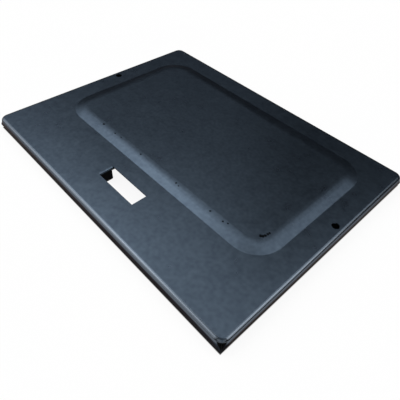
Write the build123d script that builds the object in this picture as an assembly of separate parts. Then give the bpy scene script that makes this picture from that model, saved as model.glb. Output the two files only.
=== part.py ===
from build123d import *

import os
from math import atan2, degrees, sqrt, tan

# Rectangular cover plate, pressed and folded from one blank of sheet steel.
#
# The plate is a shallow tray turned upside down. A flange is folded down all round,
# a wide low panel is pressed up out of the top, a tongue is cut and bent down to
# leave a finger slot, and two plain holes take the fixing screws.
#
# X runs along the plate, Y across it and +Z up. The origin is the centre of the box
# that holds the part, on the level of the tongue's tip, which is its lowest point.

# Plate, in millimetres.
PLATE_LENGTH = 460.0
PLATE_WIDTH = 352.0
SHEET = 1.5
FLANGE_DEPTH = 13.0
EDGE_BEND_RADIUS = 5.0  # outside of the bend between top and flange
CROWN_CORNER_RADIUS = 12.0  # plan radius of the corners where the bend ends
FOOT_CORNER_RADIUS = 2.0  # plan radius of the corners at the flange's rim

# Raised panel, measured at its root.
PANEL_LENGTH = 391.0
PANEL_WIDTH = 227.0
PANEL_CENTRE_Y = 27.5
PANEL_CORNER_RADIUS = 40.0
PANEL_HEIGHT = 3.0
PANEL_SLOPE_RUN = 15.0
PANEL_ROOT_RADIUS = 5.0  # small radius where the slope leaves the flat border
PANEL_CREST_RADIUS = 50.0  # soft radius where the slope meets the panel's flat

# Fixing holes, one at the middle of the panel beside each short edge.
HOLE_RADIUS = 5.0
HOLE_EDGE_DISTANCE = 12.5

# Finger slot and the tongue bent down at its -X end.
SLOT_LENGTH = 72.0
SLOT_WIDTH = 22.0
SLOT_EDGE_DISTANCE = 54.0  # slot's centre line to the long edge at -Y
KERF = 0.6  # gap between the tongue's shoulder and the slot's side
TONGUE_DROP = 19.0  # top skin to the tongue's tip
TONGUE_WIDTH = 16.0
TONGUE_BEND_RADIUS = 2.7  # outside of the tongue's bend
TONGUE_TIP_RADIUS = 1.5
SHOULDER_DEPTH = 2.0  # full width of the tongue down to here

# Corner reliefs: a round hole in the bend and a seam down to the rim.
RELIEF_RADIUS = 1.5
RELIEF_DEPTH = 5.0
SEAM_WIDTH = 0.8

# Levels and values that follow from the sizes above.
TOP_Z = TONGUE_DROP
RIM_Z = TOP_Z - FLANGE_DEPTH
BEND_Z = TOP_Z - EDGE_BEND_RADIUS
SLOPE_ANGLE = atan2(PANEL_HEIGHT, PANEL_SLOPE_RUN)
SLOT_CENTRE_Y = SLOT_EDGE_DISTANCE - PLATE_WIDTH / 2
HINGE_X = -SLOT_LENGTH / 2
CLEAR = 5.0  # how far each cutter runs past the sheet


def outline(length: float, width: float, radius: float, z: float, y: float = 0.0) -> Sketch:
    """Rounded rectangle centred on (0, y) at height z."""
    return Pos(0, y, z) * RectangleRounded(length, width, radius)


def top_block(inset: float) -> Part:
    """Flat-topped block with round corners and the folded edge's bend, moved inwards by inset."""
    length = PLATE_LENGTH - 2 * inset
    width = PLATE_WIDTH - 2 * inset
    base = outline(length, width, CROWN_CORNER_RADIUS - inset, RIM_Z)
    block = extrude(base, FLANGE_DEPTH - inset)
    top = block.faces().sort_by(Axis.Z)[-1]
    return fillet(top.edges(), EDGE_BEND_RADIUS - inset)


def flange_block(inset: float) -> Part:
    """Flange below the bend, its round corners drawn out to nearly square ones at the rim."""
    length = PLATE_LENGTH - 2 * inset
    width = PLATE_WIDTH - 2 * inset
    foot = outline(length, width, FOOT_CORNER_RADIUS - inset, RIM_Z - inset)
    shoulder = outline(length, width, CROWN_CORNER_RADIUS - inset, BEND_Z)
    return loft([foot, shoulder], ruled=True)


def raised_panel(inset: float) -> Part:
    """Tapered block that lifts the panel, its skin moved inwards by inset."""
    shift = inset * tan(SLOPE_ANGLE / 2)
    root_z = TOP_Z - inset
    root = outline(
        PANEL_LENGTH - 2 * shift,
        PANEL_WIDTH - 2 * shift,
        PANEL_CORNER_RADIUS - shift,
        root_z,
        PANEL_CENTRE_Y,
    )
    crest_inset = shift + PANEL_SLOPE_RUN
    crest = outline(
        PANEL_LENGTH - 2 * crest_inset,
        PANEL_WIDTH - 2 * crest_inset,
        PANEL_CORNER_RADIUS - crest_inset,
        root_z + PANEL_HEIGHT,
        PANEL_CENTRE_Y,
    )
    return loft([root, crest], ruled=True)


def skin_block(inset: float) -> Part:
    """Solid under the plate's top skin, or under its bottom skin for an inset of one sheet."""
    block = top_block(inset) + raised_panel(inset)
    border = block.faces().filter_by(lambda face: len(face.inner_wires()) == 1)[0]
    block = fillet(border.inner_wires()[0].edges(), PANEL_ROOT_RADIUS + inset)
    crest = block.faces().sort_by(Axis.Z)[-1]
    block = fillet(crest.outer_wire().edges(), PANEL_CREST_RADIUS - inset)
    return block + flange_block(inset)


def fixing_holes() -> list[Part]:
    """Cutters for the two fixing holes."""
    reach = PLATE_LENGTH / 2 - HOLE_EDGE_DISTANCE
    hole = Cylinder(HOLE_RADIUS, SHEET + 2 * CLEAR)
    return [Pos(side * reach, PANEL_CENTRE_Y, TOP_Z) * hole for side in (-1, 1)]


def finger_slot() -> Part:
    """Cutter for the slot that the tongue leaves open."""
    opening = outline(SLOT_LENGTH, SLOT_WIDTH, KERF, TOP_Z - SHEET - CLEAR, SLOT_CENTRE_Y)
    return extrude(opening, SHEET + 2 * CLEAR)


def tongue() -> Part:
    """Tongue bent down through a right angle: its bent section cut to its front outline."""
    inner_radius = TONGUE_BEND_RADIUS - SHEET
    face_x = HINGE_X + TONGUE_BEND_RADIUS
    back_x = face_x - SHEET
    bend_end_z = TOP_Z - TONGUE_BEND_RADIUS
    with BuildSketch(Plane.XZ) as section:
        with BuildLine():
            RadiusArc((HINGE_X, TOP_Z), (face_x, bend_end_z), TONGUE_BEND_RADIUS)
            Line((face_x, bend_end_z), (face_x, 0))
            Line((face_x, 0), (back_x, 0))
            Line((back_x, 0), (back_x, bend_end_z))
            RadiusArc((HINGE_X, TOP_Z - SHEET), (back_x, bend_end_z), inner_radius)
            Line((HINGE_X, TOP_Z - SHEET), (HINGE_X, TOP_Z))
        make_face()
    shoulder_width = SLOT_WIDTH - 2 * KERF
    bent_strip = Pos(0, SLOT_CENTRE_Y, 0) * extrude(section.sketch, shoulder_width / 2, both=True)

    root_radius = (shoulder_width - TONGUE_WIDTH) / 2
    shoulder_z = TOP_Z - SHOULDER_DEPTH
    neck_z = shoulder_z - root_radius
    with BuildSketch(Plane.YZ) as front:
        with BuildLine():
            Line((0, TOP_Z), (shoulder_width / 2, TOP_Z))
            Line((shoulder_width / 2, TOP_Z), (shoulder_width / 2, shoulder_z))
            RadiusArc((shoulder_width / 2, shoulder_z), (TONGUE_WIDTH / 2, neck_z), -root_radius)
            Line((TONGUE_WIDTH / 2, neck_z), (TONGUE_WIDTH / 2, TONGUE_TIP_RADIUS))
            RadiusArc(
                (TONGUE_WIDTH / 2, TONGUE_TIP_RADIUS),
                (TONGUE_WIDTH / 2 - TONGUE_TIP_RADIUS, 0),
                TONGUE_TIP_RADIUS,
            )
            Line((TONGUE_WIDTH / 2 - TONGUE_TIP_RADIUS, 0), (0, 0))
            mirror(about=Plane.YZ)
        make_face()
    outline_prism = Pos(HINGE_X, SLOT_CENTRE_Y, 0) * extrude(front.sketch, 2 * TONGUE_BEND_RADIUS, both=True)
    return bent_strip & outline_prism


def corner_reliefs() -> list[Part]:
    """Cutters that open each folded corner: a round relief and the seam below it."""
    inset = CROWN_CORNER_RADIUS * (1 - 1 / sqrt(2))
    reach = 2 * inset
    cutters = []
    for x_side, y_side in ((1, 1), (-1, 1), (-1, -1), (1, -1)):
        turn = degrees(atan2(y_side, x_side))
        corner = Pos(x_side * (PLATE_LENGTH / 2 - inset), y_side * (PLATE_WIDTH / 2 - inset), 0)
        relief = Rot(0, 90, 0) * Cylinder(RELIEF_RADIUS, 2 * reach)
        seam_height = TOP_Z - RELIEF_DEPTH
        seam = Pos(0, 0, seam_height / 2) * Box(2 * reach, SEAM_WIDTH, seam_height)
        cutters.append(corner * Rot(0, 0, turn) * (Pos(0, 0, seam_height) * relief + seam))
    return cutters


def cover_plate() -> Part:
    """The whole plate as one sheet of even thickness."""
    sheet = skin_block(0) - skin_block(SHEET)
    for cutter in [*fixing_holes(), finger_slot(), *corner_reliefs()]:
        sheet -= cutter
    return sheet + tongue()


def main() -> None:
    """Build the plate and write it as one STEP file."""
    os.makedirs("parts", exist_ok=True)
    plate = cover_plate()
    plate.label = "cover_plate"
    export_step(plate, "parts/cover_plate.step")
    print("cover_plate", plate.bounding_box().size, "solids", len(plate.solids()))


if __name__ == "__main__":
    main()
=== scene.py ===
"""Looks of a pressed sheet-steel cover plate: dark satin paint, a pale floor and soft studio light."""

import logging
import math
from dataclasses import dataclass, field
from enum import Enum
from typing import Any

import bmesh
import bpy
from mathutils import Matrix, Vector

LOG = logging.getLogger("cover_plate")
PLATE_NODE = "cover_plate"

Colour = tuple[float, float, float]
Point = tuple[float, float, float]
Span = tuple[float, float]

WHITE = (1.0, 1.0, 1.0, 1.0)


class MixSocket(Enum):
    """Sockets of a Mix node that mixes colours."""

    AMOUNT = 0
    FIRST = 6
    SECOND = 7
    RESULT = 2


class Ray(Enum):
    """Kinds of ray that a surface or the world tells apart."""

    CAMERA = "Is Camera Ray"
    GLOSSY = "Is Glossy Ray"
    TRANSMISSION = "Is Transmission Ray"


class Value:
    """A shader socket that takes part in plain arithmetic."""

    def __init__(self, graph: "Graph", socket: bpy.types.NodeSocket | None) -> None:
        """Wraps an output socket.

        Args:
            graph: the graph that new Math nodes are added to.
            socket: the output that carries the number, or None for a node without outputs.
        """
        self.graph = graph
        self.socket = socket

    def _math(self, operation: str, *operands: "Value | float") -> "Value":
        """Adds one Math node.

        Args:
            operation: the node's operation.
            operands: values or numbers, in the order of the node's sockets.

        Returns:
            The node's result.
        """
        return self.graph.node("ShaderNodeMath", {"operation": operation}, dict(enumerate(operands)))

    def __add__(self, other: "Value | float") -> "Value":
        """Sum."""
        return self._math("ADD", self, other)

    __radd__ = __add__

    def __sub__(self, other: "Value | float") -> "Value":
        """Difference."""
        return self._math("SUBTRACT", self, other)

    def __rsub__(self, other: float) -> "Value":
        """Difference from a number."""
        return self._math("SUBTRACT", other, self)

    def __mul__(self, other: "Value | float") -> "Value":
        """Product."""
        return self._math("MULTIPLY", self, other)

    __rmul__ = __mul__

    def __abs__(self) -> "Value":
        """Size without sign."""
        return self._math("ABSOLUTE", self)

    def root(self) -> "Value":
        """Square root."""
        return self._math("SQRT", self)

    def high(self, other: "Value | float") -> "Value":
        """The larger of two."""
        return self._math("MAXIMUM", self, other)

    def low(self, other: "Value | float") -> "Value":
        """The smaller of two."""
        return self._math("MINIMUM", self, other)

    def fade(self, start: float, end: float) -> "Value":
        """Smooth step from 0 at start to 1 at end, which may be the smaller.

        Args:
            start: where the result is 0.
            end: where the result is 1.

        Returns:
            The smooth step.
        """
        settings = {"interpolation_type": "SMOOTHSTEP"}
        inputs = {"Value": self, "From Min": min(start, end), "From Max": max(start, end)}
        rising = self.graph.node("ShaderNodeMapRange", settings, inputs)
        return rising if start < end else 1.0 - rising


class Graph:
    """A node tree that is built from expressions."""

    def __init__(self, tree: bpy.types.NodeTree) -> None:
        """Empties the tree.

        Args:
            tree: the material's or world's node tree.
        """
        self.tree = tree
        tree.nodes.clear()

    def node(
        self,
        kind: str,
        settings: dict[str, Any] | None = None,
        inputs: dict[Any, Any] | None = None,
        output: int | str = 0,
    ) -> Value:
        """Adds a node.

        Args:
            kind: the node's type.
            settings: attributes that are set first.
            inputs: socket name or number to a value or a link.
            output: the output that is handed back.

        Returns:
            That output.
        """
        made = self.tree.nodes.new(kind)
        for name, setting in (settings or {}).items():
            setattr(made, name, setting)
        for name, value in (inputs or {}).items():
            if isinstance(value, Value):
                self.tree.links.new(value.socket, made.inputs[name])
            else:
                made.inputs[name].default_value = value
        return Value(self, made.outputs[output] if made.outputs else None)

    def coordinate(self, kind: str) -> Value:
        """One output of the Texture Coordinate node, by name."""
        return self.node("ShaderNodeTexCoord", output=kind)

    def ray(self, kind: Ray) -> Value:
        """1 for rays of that kind and 0 for the others."""
        return self.node("ShaderNodeLightPath", output=kind.value)

    def axes(self, vector: Value) -> tuple[Value, Value, Value]:
        """The three numbers of a vector."""
        return tuple(self.node("ShaderNodeSeparateXYZ", None, {0: vector}, axis) for axis in range(3))

    def mix(self, amount: Value | float, first: Any, second: Any) -> Value:
        """Mixes two colours.

        Args:
            amount: share of the second.
            first: a colour or a link.
            second: a colour or a link.

        Returns:
            The mixed colour.
        """
        inputs = {MixSocket.AMOUNT.value: amount}
        for socket, colour in ((MixSocket.FIRST, first), (MixSocket.SECOND, second)):
            inputs[socket.value] = colour if isinstance(colour, Value) else (*colour, 1.0)
        return self.node("ShaderNodeMix", {"data_type": "RGBA"}, inputs, MixSocket.RESULT.value)

    def blend(self, amount: Value, first: Value, second: Value) -> Value:
        """Mixes two shaders.

        Args:
            amount: share of the second.
            first: a shader.
            second: a shader.

        Returns:
            The mixed shader.
        """
        return self.node("ShaderNodeMixShader", None, {0: amount, 1: first, 2: second})


@dataclass(frozen=True)
class Noise:
    """Soft noise, with its scale in cycles per metre."""

    scale: float
    octaves: float = 0.0

    def read(self, graph: Graph, place: Value) -> Value:
        """Reads the noise.

        Args:
            graph: the material's graph.
            place: where it is read.

        Returns:
            The noise, around 0.
        """
        inputs = {"Vector": place, "Scale": self.scale, "Detail": self.octaves}
        return graph.node("ShaderNodeTexNoise", None, inputs) - 0.5


@dataclass(frozen=True)
class Speck:
    """A small dark chip in the paint, round a point on the plate, in metres."""

    x: float
    y: float
    radius: float


CREST_Y = -0.0705
CREST_SPECKS = (
    Speck(-0.115, CREST_Y, 0.0017),
    Speck(-0.087, CREST_Y, 0.0012),
    Speck(-0.074, CREST_Y + 0.001, 0.0010),
    Speck(-0.028, CREST_Y, 0.0012),
    Speck(0.044, CREST_Y, 0.0012),
    Speck(0.050, CREST_Y - 0.001, 0.0010),
    Speck(0.106, CREST_Y, 0.0013),
    Speck(0.127, CREST_Y, 0.0012),
    Speck(0.133, CREST_Y + 0.002, 0.0010),
)
CORNER_SCUFF = (
    Speck(0.1701, -0.0535, 0.0021),
    Speck(0.1720, -0.0518, 0.0021),
    Speck(0.1731, -0.0491, 0.0018),
    Speck(0.1736, -0.0455, 0.0016),
    Speck(0.1742, -0.0426, 0.0013),
)


@dataclass(frozen=True)
class Zones:
    """The plate's zones. Each span runs from where a soft edge starts to where it is full, in metres.

    A span that ends in _in is measured from the outer face inwards, and one that ends in _level is a height.
    """

    half_length: float = 0.230
    half_width: float = 0.176
    bend_in: Span = (0.0052, 0.0026)
    bend_level: Span = (0.0130, 0.0150)
    flange_shade_level: Span = (0.0155, 0.0120)
    end_flange_in: Span = (0.0040, 0.0010)
    seam_in: Span = (0.0100, 0.0050)
    seam_level: Span = (0.0152, 0.0140)
    flange_wall_in: Span = (0.00091, 0.0013)
    ceiling_level: Span = (0.0168, 0.0162)
    facing_down: Span = (-0.3, -0.7)
    chip_edge_in_radii: Span = (1.5, 0.5)


class PlateMap:
    """Marks the plate's zones in a material, each with 1 inside and 0 outside."""

    def __init__(self, graph: Graph, zones: Zones) -> None:
        """Reads the position on the plate.

        Args:
            graph: the material's graph.
            zones: where the zones are.
        """
        self.graph = graph
        self.zones = zones
        self.place = graph.coordinate("Object")
        self.across, self.along, self.level = graph.axes(self.place)
        self.from_end = zones.half_length - abs(self.across)
        self.from_side = zones.half_width - abs(self.along)
        self.from_edge = self.from_end.low(self.from_side)

    def bend(self) -> Value:
        """The rounded bend between the top and the flange."""
        return self.from_edge.fade(*self.zones.bend_in) * self.level.fade(*self.zones.bend_level)

    def end_flange(self) -> Value:
        """The flange along the two short sides."""
        return self.from_end.fade(*self.zones.end_flange_in)

    def flange_shade(self, ripple: Value) -> Value:
        """The lower part of the flange, where the paint gets painted shade.

        Args:
            ripple: what moves its upper edge up and down.

        Returns:
            The mark.
        """
        return (self.level + ripple).fade(*self.zones.flange_shade_level)

    def seams(self) -> Value:
        """The open seams at the folded corners, where the paint gets painted shade."""
        near_corner = self.from_end.high(self.from_side).fade(*self.zones.seam_in)
        return near_corner * self.level.fade(*self.zones.seam_level)

    def inner_side(self, underside: float) -> Value:
        """The flange's inner face and the tongue, and the underside in part, which get painted shade.

        Args:
            underside: how much of the mark a face that looks down gets.

        Returns:
            The mark.
        """
        facing = self.graph.axes(self.graph.coordinate("Normal"))[2]
        recess = self.from_edge.fade(*self.zones.flange_wall_in) * self.level.fade(*self.zones.ceiling_level)
        return (facing.fade(*self.zones.facing_down) * underside).high(recess)

    def chips(self, specks: tuple[Speck, ...], ragged: Value) -> Value:
        """The chips in the paint.

        Args:
            specks: the chips.
            ragged: what moves their edges in and out.

        Returns:
            The mark.
        """
        start, end = self.zones.chip_edge_in_radii
        found: Value | float = 0.0
        for speck in specks:
            aside, ahead = self.across - speck.x, self.along - speck.y
            span = (aside * aside + ahead * ahead).root()
            found = (span + ragged).fade(speck.radius * start, speck.radius * end).high(found)
        return found


@dataclass(frozen=True)
class Tones:
    """How much each noise moves the paint from its base colour to its pale one."""

    middle: float = 0.5
    cloud: float = 0.45
    mottle: float = 0.40
    fine: float = 0.85


@dataclass(frozen=True)
class Cover:
    """How fully each mark covers the paint."""

    # bend: share of the paler bend colour, which is rubbed edge wear and a painted highlight
    bend: float = 0.80
    # flange, end_flange_more and seam: shares of the painted shade on the lower flange, extra on the short
    # sides, and in the corner seams
    flange: float = 0.65
    end_flange_more: float = 0.30
    seam: float = 0.80
    # underside: share of the inner painted shade that faces looking down get
    underside: float = 0.30


@dataclass(frozen=True)
class Wear:
    """What each mark adds to the paint's roughness."""

    cloud: float = 0.04
    mottle: float = 0.04
    bend: float = -0.11
    flange_shade: float = 0.15
    inner: float = 0.25
    chip: float = 0.35


@dataclass(frozen=True)
class Relief:
    """The paint's fine unevenness: share of each part, then the bump's strength and its depth in metres."""

    mottle: float = 0.3
    grain: float = 0.1
    chip: float = -0.5
    strength: float = 0.06
    depth: float = 0.0004


@dataclass(frozen=True)
class SatinPaint:
    """Dark blue-grey metallic paint with a satin skin, as sprayed on pressed steel."""

    name: str = "dark_satin_paint"
    base: Colour = (0.038, 0.053, 0.074)
    pale: Colour = (0.059, 0.081, 0.108)
    # Paler colour on the bends: rubbed edge wear and a painted highlight that brightens the bends' reflection
    highlight_and_wear: Colour = (0.115, 0.134, 0.158)
    # Painted shade on the lower flange and in the corner seams: near black
    painted_shade: Colour = (0.010, 0.009, 0.010)
    # Painted shade on the flange's inner face, the tongue and in part the underside: near black
    inner: Colour = (0.004, 0.0045, 0.005)
    chipped: Colour = (0.002, 0.0025, 0.003)
    edge_tint: Colour = (0.38, 0.34, 0.32)
    metallic: float = 0.95
    roughness: float = 0.29
    cloud: Noise = Noise(24.0, 3.0)
    mottle: Noise = Noise(95.0)
    fine: Noise = Noise(230.0)
    grain: Noise = Noise(900.0, 2.0)
    ragged: Noise = Noise(700.0, 2.0)
    ragged_reach: float = 0.0022
    flange_shade_ripple: float = 0.003
    specks: tuple[Speck, ...] = CREST_SPECKS + CORNER_SCUFF
    zones: Zones = Zones()
    tones: Tones = Tones()
    cover: Cover = Cover()
    wear: Wear = Wear()
    relief: Relief = Relief()

    def build(self) -> bpy.types.Material:
        """Makes the material.

        Returns:
            The new material.
        """
        material = bpy.data.materials.new(self.name)
        material.use_nodes = True
        graph = Graph(material.node_tree)
        plate = PlateMap(graph, self.zones)
        noises = (self.cloud, self.mottle, self.fine, self.grain, self.ragged)
        cloud, mottle, fine, grain, ragged = (noise.read(graph, plate.place) for noise in noises)

        chips = plate.chips(self.specks, ragged * self.ragged_reach)
        # Painted shade on the inner side and, in part, on the underside
        inner = plate.inner_side(self.cover.underside)
        bend = plate.bend()
        # Painted shade: the flange darkens towards its rim, more on the short sides, and the corner seams
        # darken too
        flange_shade = plate.flange_shade(cloud * self.flange_shade_ripple) * (1.0 - inner)
        flange_shade = flange_shade * (self.cover.flange + plate.end_flange() * self.cover.end_flange_more)
        painted_shade_mask = flange_shade.high(plate.seams() * self.cover.seam)

        tones = self.tones
        tone = cloud * tones.cloud + mottle * tones.mottle + fine * tones.fine + tones.middle
        paint = graph.mix(tone.high(0.0).low(1.0), self.base, self.pale)
        # Painted highlight and edge wear: the bends take the paler colour
        highlit_and_worn = graph.mix(bend * self.cover.bend, paint, self.highlight_and_wear)
        shaded = graph.mix(painted_shade_mask, highlit_and_worn, self.painted_shade)
        inner_shaded = graph.mix(inner, shaded, self.inner)
        colour = graph.mix(chips, inner_shaded, self.chipped)

        wear = self.wear
        rough = self.roughness + cloud * wear.cloud + mottle * wear.mottle + bend * wear.bend
        rough = rough + flange_shade * wear.flange_shade + inner * wear.inner + chips * wear.chip

        relief = self.relief
        height = mottle * relief.mottle + grain * relief.grain + chips * relief.chip
        bump = {"Strength": relief.strength, "Distance": relief.depth, "Height": height}
        surface = {
            "Base Color": colour,
            "Metallic": self.metallic,
            "Roughness": rough,
            "Specular Tint": (*self.edge_tint, 1.0),
            "Normal": graph.node("ShaderNodeBump", None, bump),
        }
        shader = graph.node("ShaderNodeBsdfPrincipled", None, surface)
        graph.node("ShaderNodeOutputMaterial", None, {"Surface": shader})
        return material


@dataclass
class CoverPlate:
    """The folded plate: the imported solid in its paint."""

    nodes: dict[str, bpy.types.Object]
    paint: SatinPaint = field(default_factory=SatinPaint)

    def dress(self) -> None:
        """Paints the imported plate."""
        plate = self.nodes[PLATE_NODE]
        plate.data.materials.clear()
        plate.data.materials.append(self.paint.build())
        LOG.info("%s: %d faces painted", plate.name, len(plate.data.polygons))


@dataclass(frozen=True)
class Patch:
    """A rectangle on the floor, in metres."""

    x: float
    y: float
    half_length: float
    half_width: float


@dataclass(frozen=True)
class FloorFinish:
    """Plain white board that shows white to the eye and in gloss, with a dark painted shadow under the plate.
    """

    name: str = "pale_floor"
    pale: Colour = (0.86, 0.86, 0.86)
    shade: Colour = (0.80, 0.80, 0.80)
    # Painted shadow: near-black board under the plate, so that the holes look dark
    painted_shadow: Colour = (0.03, 0.03, 0.03)
    clouds: Noise = Noise(3.0, 2.0)
    white_share: float = 0.9
    under_plate: Patch = Patch(0.0, 0.0, 0.2298, 0.1760)
    under_slot: Patch = Patch(-0.005, -0.112, 0.043, 0.030)
    soft_edge: float = 0.0012

    def inside(self, graph: Graph, place: Value, patch: Patch) -> Value:
        """Marks a soft-edged rectangle on the floor.

        Args:
            graph: the material's graph.
            place: position on the floor.
            patch: the rectangle.

        Returns:
            1 inside and 0 outside.
        """
        across, along, _ = graph.axes(place)
        beyond_end = abs(across - patch.x) - patch.half_length
        beyond_side = abs(along - patch.y) - patch.half_width
        return beyond_end.high(beyond_side).fade(0.0, -self.soft_edge)

    def build(self) -> bpy.types.Material:
        """Makes the material.

        Returns:
            The new material.
        """
        material = bpy.data.materials.new(self.name)
        material.use_nodes = True
        graph = Graph(material.node_tree)
        place = graph.coordinate("Object")
        # Painted shadow under the plate, left out under the slot, which shows white
        painted_shadow = self.inside(graph, place, self.under_plate)
        painted_shadow = painted_shadow * (1.0 - self.inside(graph, place, self.under_slot))
        open_board = graph.mix(self.clouds.read(graph, place) + 0.5, self.pale, self.shade)
        colour = graph.mix(painted_shadow, open_board, self.painted_shadow)
        board = graph.node("ShaderNodeBsdfDiffuse", None, {"Color": colour})
        white = graph.node("ShaderNodeEmission", None, {"Color": WHITE, "Strength": 1.0})
        looking = graph.ray(Ray.CAMERA).high(graph.ray(Ray.GLOSSY)).high(graph.ray(Ray.TRANSMISSION))
        top = graph.blend(looking * (1.0 - painted_shadow) * self.white_share, board, white)
        below = graph.node("ShaderNodeNewGeometry", output="Backfacing")
        surface = graph.blend(below, top, graph.node("ShaderNodeBsdfTransparent"))
        graph.node("ShaderNodeOutputMaterial", None, {"Surface": surface})
        return material


@dataclass(frozen=True)
class Softbox:
    """A round soft lamp, far enough away to light the plate evenly.

    Its azimuth runs anticlockwise from the plate's right, and its spread is the angle that it fills. All three
    angles are in degrees.
    """

    name: str
    azimuth: float
    elevation: float
    spread: float
    radiance: float

    def place(self) -> bpy.types.Object:
        """Makes the lamp and turns it to the plate.

        Returns:
            The lamp.
        """
        turn, lift = math.radians(self.azimuth), math.radians(self.elevation)
        away = Vector((math.cos(lift) * math.cos(turn), math.cos(lift) * math.sin(turn), math.sin(lift)))
        lamp = bpy.data.lights.new(self.name, "SUN")
        lamp.angle = math.radians(self.spread)
        lamp.energy = self.radiance * math.pi * math.sin(lamp.angle / 2) ** 2
        made = bpy.data.objects.new(self.name, lamp)
        made.rotation_euler = away.to_track_quat("Z", "Y").to_euler()
        bpy.context.scene.collection.objects.link(made)
        return made


@dataclass
class Studio:
    """Floor, lamps and world.

    The world is dim, but white to the eye, and gloss shows a pale backdrop that stands low round the floor.
    """

    floor_half: float = 20.0
    floor_finish: FloorFinish = field(default_factory=FloorFinish)
    air_level: float = 0.04
    backdrop_top: float = 0.16
    backdrop_share: float = 0.6
    lamps: tuple[Softbox, ...] = (
        Softbox("left_window", 207.0, 32.0, 56.0, 0.75),
        Softbox("left_softbox", 190.0, 42.0, 50.0, 0.95),
        Softbox("near_softbox", 236.0, 30.0, 54.0, 1.2),
        Softbox("high_near_softbox", 228.0, 58.0, 34.0, 1.6),
        Softbox("high_left_softbox", 180.0, 54.0, 30.0, 1.5),
        Softbox("high_far_softbox", 150.0, 64.0, 34.0, 1.45),
        Softbox("right_window", 32.0, 42.0, 38.0, 2.0),
        Softbox("right_softbox", 66.0, 58.0, 44.0, 1.75),
        Softbox("far_softbox", 144.0, 38.0, 36.0, 0.28),
        Softbox("camera_side_fill", 315.0, 38.0, 60.0, 0.8),
    )

    def lay_floor(self) -> None:
        """Lays the floor under the tongue's tip."""
        shape = bmesh.new()
        bmesh.ops.create_grid(shape, x_segments=1, y_segments=1, size=self.floor_half)
        mesh = bpy.data.meshes.new("studio_floor")
        shape.to_mesh(mesh)
        shape.free()
        mesh.materials.append(self.floor_finish.build())
        floor = bpy.data.objects.new("studio_floor", mesh)
        bpy.context.scene.collection.objects.link(floor)
        LOG.info("%s: laid", floor.name)

    def hang_lamps(self) -> None:
        """Places the lamps."""
        for lamp in self.lamps:
            made = lamp.place()
            LOG.info("%s: hung", made.name)

    def fill_world(self) -> None:
        """Makes the dim air and the pale backdrop."""
        world = bpy.data.worlds.new("studio_world")
        world.use_nodes = True
        bpy.context.scene.world = world
        graph = Graph(world.node_tree)
        dim = (self.air_level, self.air_level, self.air_level, 1.0)
        air = graph.node("ShaderNodeBackground", None, {"Color": dim, "Strength": 1.0})
        white = graph.node("ShaderNodeBackground", None, {"Color": WHITE, "Strength": 1.0})
        rise = graph.axes(graph.coordinate("Generated"))[2]
        gloss = graph.ray(Ray.GLOSSY).high(graph.ray(Ray.TRANSMISSION))
        backdrop = gloss * rise.fade(self.backdrop_top, 0.0) * self.backdrop_share
        surface = graph.blend(graph.ray(Ray.CAMERA).high(backdrop), air, white)
        graph.node("ShaderNodeOutputWorld", None, {"Surface": surface})
        LOG.info("%s: made", world.name)


@dataclass(frozen=True)
class Viewpoint:
    """Camera above the near corner. Its right and down are the directions of its frame's two sides."""

    position: Point = (0.30943, -0.30292, 0.36897)
    right: Point = (0.68397, 0.72771, 0.05130)
    down: Point = (0.55654, -0.47504, -0.68162)
    focal_length: float = 35.344
    sensor_width: float = 36.0
    nearest: float = 0.01

    def place(self) -> None:
        """Makes the camera and gives it to the scene."""
        across, below = Vector(self.right).normalized(), Vector(self.down).normalized()
        back = -across.cross(below)
        turn = Matrix((across, -below, back)).transposed().to_4x4()
        lens = bpy.data.cameras.new("studio_camera")
        lens.lens = self.focal_length
        lens.sensor_width = self.sensor_width
        lens.clip_start = self.nearest
        camera = bpy.data.objects.new("studio_camera", lens)
        camera.matrix_world = Matrix.Translation(self.position) @ turn
        bpy.context.scene.collection.objects.link(camera)
        bpy.context.scene.camera = camera
        LOG.info("%s: placed", camera.name)


def main(nodes: dict[str, bpy.types.Object]) -> None:
    """Builds the scene in order.

    Args:
        nodes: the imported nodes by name.
    """
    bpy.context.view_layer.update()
    Viewpoint().place()
    studio = Studio()
    studio.lay_floor()
    studio.hang_lamps()
    studio.fill_world()
    bpy.context.scene.view_settings.view_transform = "Standard"
    CoverPlate(nodes).dress()


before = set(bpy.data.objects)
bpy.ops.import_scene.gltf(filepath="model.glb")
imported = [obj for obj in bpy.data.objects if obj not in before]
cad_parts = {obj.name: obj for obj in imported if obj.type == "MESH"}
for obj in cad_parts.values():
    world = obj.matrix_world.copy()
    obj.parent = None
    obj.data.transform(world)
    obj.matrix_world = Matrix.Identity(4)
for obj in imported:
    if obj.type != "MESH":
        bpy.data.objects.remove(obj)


if __name__ == "__main__":
    logging.basicConfig(level=logging.INFO)
    main(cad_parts)
